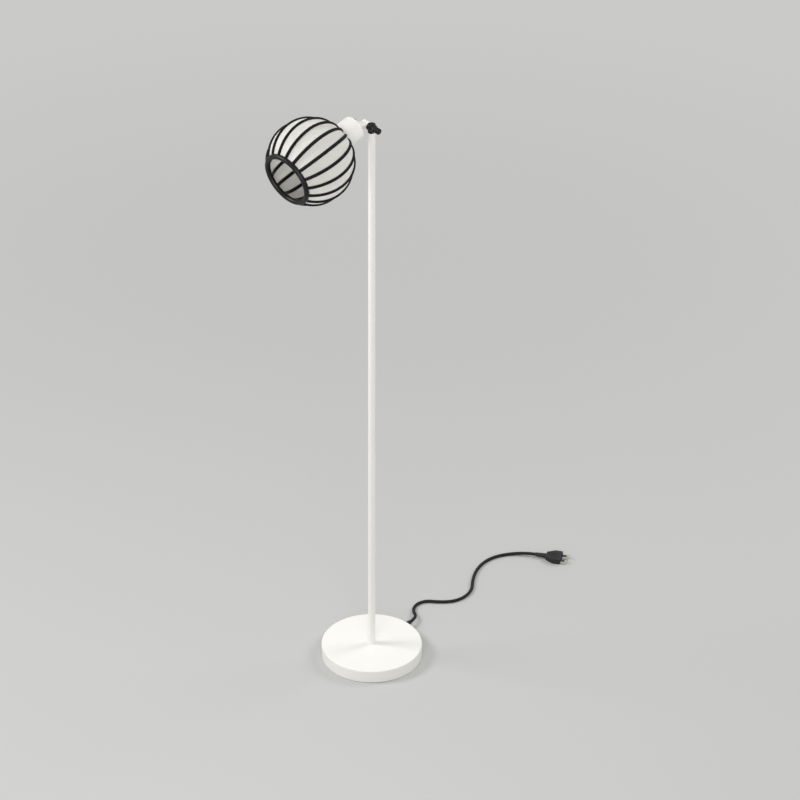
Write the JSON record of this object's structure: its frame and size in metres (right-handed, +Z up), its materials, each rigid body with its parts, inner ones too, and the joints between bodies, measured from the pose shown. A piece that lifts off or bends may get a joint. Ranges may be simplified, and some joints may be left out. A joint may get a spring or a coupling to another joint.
{
  "type": "floor lamp",
  "caption": "slim floor lamp with a round weighted base, a straight pole, a tilting cup-mounted ball shade with dark ribs and an open mouth, and a mains cord with a plug",
  "frame": {"origin": "on the floor, under the pole's axis, in the plane of the foam pad's underside", "axes": "+Z up along the pole, -Y the way the shade's mouth faces, +X towards the clamp knob"},
  "size_m": [0.2265, 0.8223, 1.4952],
  "materials": {
    "white_enamel": "satin white powder coat",
    "black_metal": "satin black powder coat",
    "shade_fabric": "plain white woven cotton",
    "black_piping": "black cotton tape",
    "cord_textile": "black braided textile sleeve",
    "cast_weight": "raw casting",
    "zinc_steel": "zinc plated",
    "nickel_brass": "nickel plated",
    "foam_pad": "closed cell foam",
    "black_plastic": "moulded, satin",
    "black_vinyl": "soft moulded vinyl",
    "clear_lead": "white insulated flexible lead",
    "porcelain": "glazed",
    "bulb_opal": "opal polycarbonate",
    "bulb_shell": "white moulded",
    "board_aluminium": "white solder resist",
    "black_insulator": "vitrite"
  },
  "bodies": {
    "stand": {"base_cover": "white_enamel", "base_ballast": "cast_weight", "base_plate": "zinc_steel", "base_plate_screws": "zinc_steel", "base_pad": "foam_pad", "pole_stud": "zinc_steel", "stud_washer": "zinc_steel", "stud_nut": "zinc_steel", "pole_insert": "zinc_steel", "pole_tube": "white_enamel", "cord_bushing": "black_vinyl", "bushing_nut": "black_plastic", "cord_clamp_base": "black_plastic", "cord_clamp_saddle": "black_plastic", "cord_clamp_screws": "zinc_steel", "terminal_block": "black_plastic", "terminal_screws": "nickel_brass", "cord_tail": "cord_textile", "pole_lead": "clear_lead", "mains_cord": "cord_textile", "plug_relief": "black_vinyl", "plug_body": "black_vinyl", "plug_pins": "nickel_brass", "plug_pin_sleeves": "black_plastic", "pivot_hub": "black_metal", "hub_set_screw": "zinc_steel", "tilt_stop_pin": "zinc_steel", "friction_washer": "black_plastic", "thrust_washer": "black_plastic"},
    "head": {"tilt_arm": "white_enamel", "arm_end_cap": "white_enamel", "tilt_spindle": "zinc_steel", "spring_washer": "zinc_steel", "head_nipple": "zinc_steel", "head_lock_washer": "zinc_steel", "head_nut": "zinc_steel", "head_lead": "clear_lead", "lampholder_cup": "white_enamel", "lampholder_cap": "black_plastic", "lampholder_body": "black_plastic", "contact_block": "porcelain", "screw_shell": "nickel_brass", "centre_contact": "nickel_brass", "bulb_tip": "nickel_brass", "bulb_insulator": "black_insulator", "bulb_cap": "nickel_brass", "bulb_body": "bulb_shell", "bulb_globe": "bulb_opal", "led_board": "board_aluminium", "neck_plate": "black_metal", "mouth_ring": "black_metal", "shade_struts": "black_metal", "shade_skin": "shade_fabric", "shade_piping": "black_piping", "shade_ring": "black_plastic", "switch_body": "black_plastic", "switch_nut": "black_metal"},
    "knob": {"clamp_knob": "black_metal"},
    "button": {"switch_button": "black_plastic"}
  },
  "joints": [
    {"name": "head_tilt", "type": "hinge", "parent": "stand", "child": "head", "pos_m": [0, 0, 1.41], "axis": [-1, 0, 0], "range_deg": [-45, 90]},
    {"name": "knob_turn", "type": "hinge", "parent": "head", "child": "knob", "pos_m": [0, 0, 1.41], "axis": [1, 0, 0], "range_deg": [0, 360]},
    {"name": "switch_press", "type": "slide", "parent": "head", "child": "button", "axis": [0, -0.986, -0.1668], "range_m": [0, 0.0025], "stiffness_N_per_m": 300}
  ]
}
